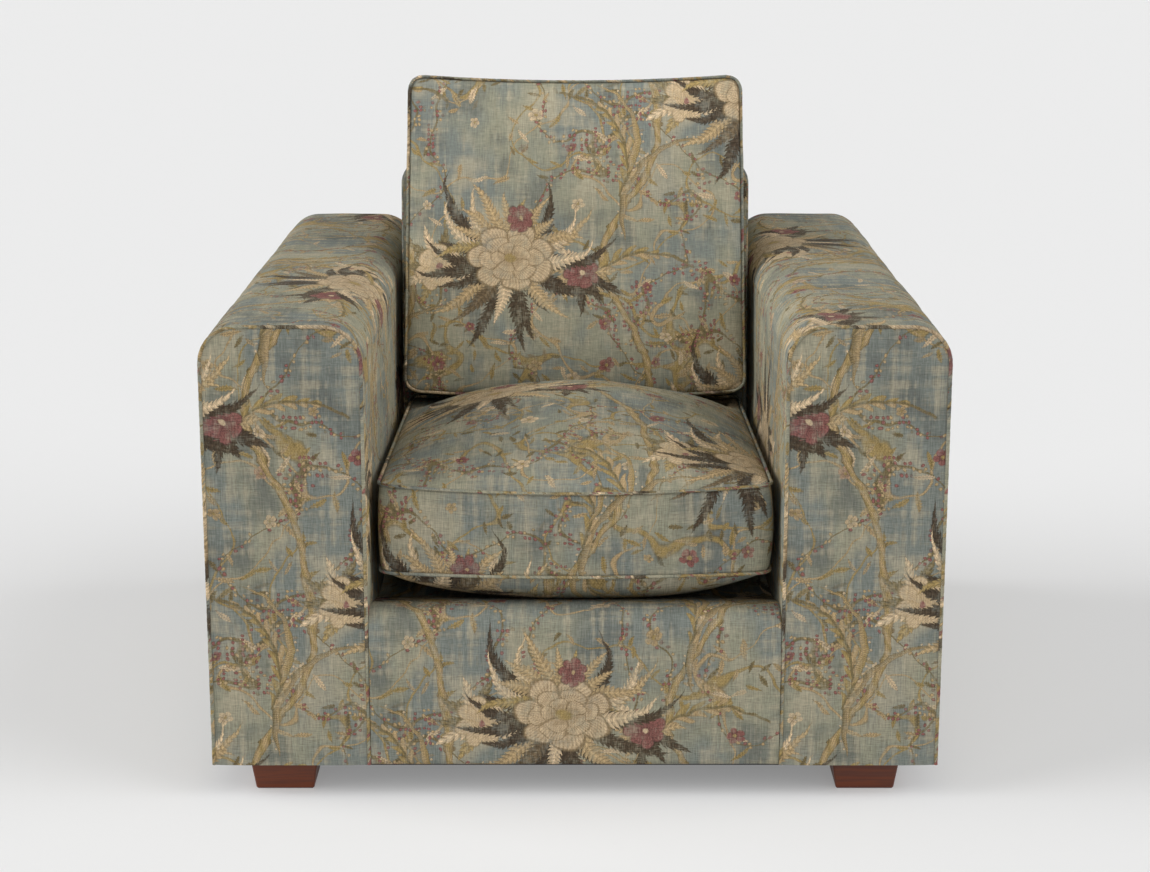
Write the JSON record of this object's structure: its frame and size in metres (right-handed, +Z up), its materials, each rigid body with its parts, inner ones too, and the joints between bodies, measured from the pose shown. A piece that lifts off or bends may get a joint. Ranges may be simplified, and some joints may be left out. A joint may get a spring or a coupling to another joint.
{
  "type": "armchair",
  "caption": "Box-arm upholstered armchair with loose boxed seat and back cushions, piped seams and tapered wood feet.",
  "frame": {"origin": "on the floor, under the middle of the chair", "axes": "+Z up, +Y to the chair's back, +X to the right as seen from the front"},
  "size_m": [0.9616, 1.0097, 0.9018],
  "materials": {
    "print_cloth": "woven linen-look furnishing cloth with a faded leaf and flower print",
    "dust_cloth": "black non-woven cloth under the base",
    "wadding": "foam and polyester wadding, hidden",
    "beech": "planed beech, unfinished",
    "plywood": "sawn plywood, unfinished",
    "webbing": "woven elastic webbing",
    "foot_wood": "stained hardwood, dark reddish brown, satin",
    "bolt_steel": "zinc-plated steel",
    "zip_tape": "closed coil zip on woven tape"
  },
  "bodies": {
    "root": {"back_cover": "print_cloth", "back_cushion_cover": "print_cloth", "back_cushion_filling": "wadding", "back_cushion_front_piping": "print_cloth", "back_cushion_rear_piping": "print_cloth", "back_cushion_zip": "zip_tape", "back_padding": "wadding", "back_top_board": "beech", "back_web_1": "webbing", "back_web_2": "webbing", "back_web_3": "webbing", "deck_cloth": "print_cloth", "dust_cover": "dust_cloth", "front_border_cover": "print_cloth", "left_arm_back_board": "plywood", "left_arm_base_board": "beech", "left_arm_cover": "print_cloth", "left_arm_front_board": "plywood", "left_arm_front_panel": "print_cloth", "left_arm_front_piping": "print_cloth", "left_arm_inner_board": "plywood", "left_arm_padding": "wadding", "left_arm_top_board": "beech", "left_back_post": "beech", "left_front_arm_bolt": "bolt_steel", "left_front_foot": "foot_wood", "left_rear_arm_bolt": "bolt_steel", "left_rear_foot": "foot_wood", "left_seat_side_rail": "beech", "outside_back_panel": "print_cloth", "right_arm_back_board": "plywood", "right_arm_base_board": "beech", "right_arm_cover": "print_cloth", "right_arm_front_board": "plywood", "right_arm_front_panel": "print_cloth", "right_arm_front_piping": "print_cloth", "right_arm_inner_board": "plywood", "right_arm_padding": "wadding", "right_arm_top_board": "beech", "right_back_post": "beech", "right_front_arm_bolt": "bolt_steel", "right_front_foot": "foot_wood", "right_rear_arm_bolt": "bolt_steel", "right_rear_foot": "foot_wood", "right_seat_side_rail": "beech", "seat_back_rail": "beech", "seat_cushion_bottom_piping": "print_cloth", "seat_cushion_cover": "print_cloth", "seat_cushion_filling": "wadding", "seat_cushion_top_piping": "print_cloth", "seat_cushion_zip": "zip_tape", "seat_front_rail": "beech", "seat_padding": "wadding", "seat_rear_rail": "beech", "seat_web_cross_1": "webbing", "seat_web_cross_2": "webbing", "seat_web_cross_3": "webbing", "seat_web_long_1": "webbing", "seat_web_long_2": "webbing", "seat_web_long_3": "webbing"}
  },
  "joints": []
}
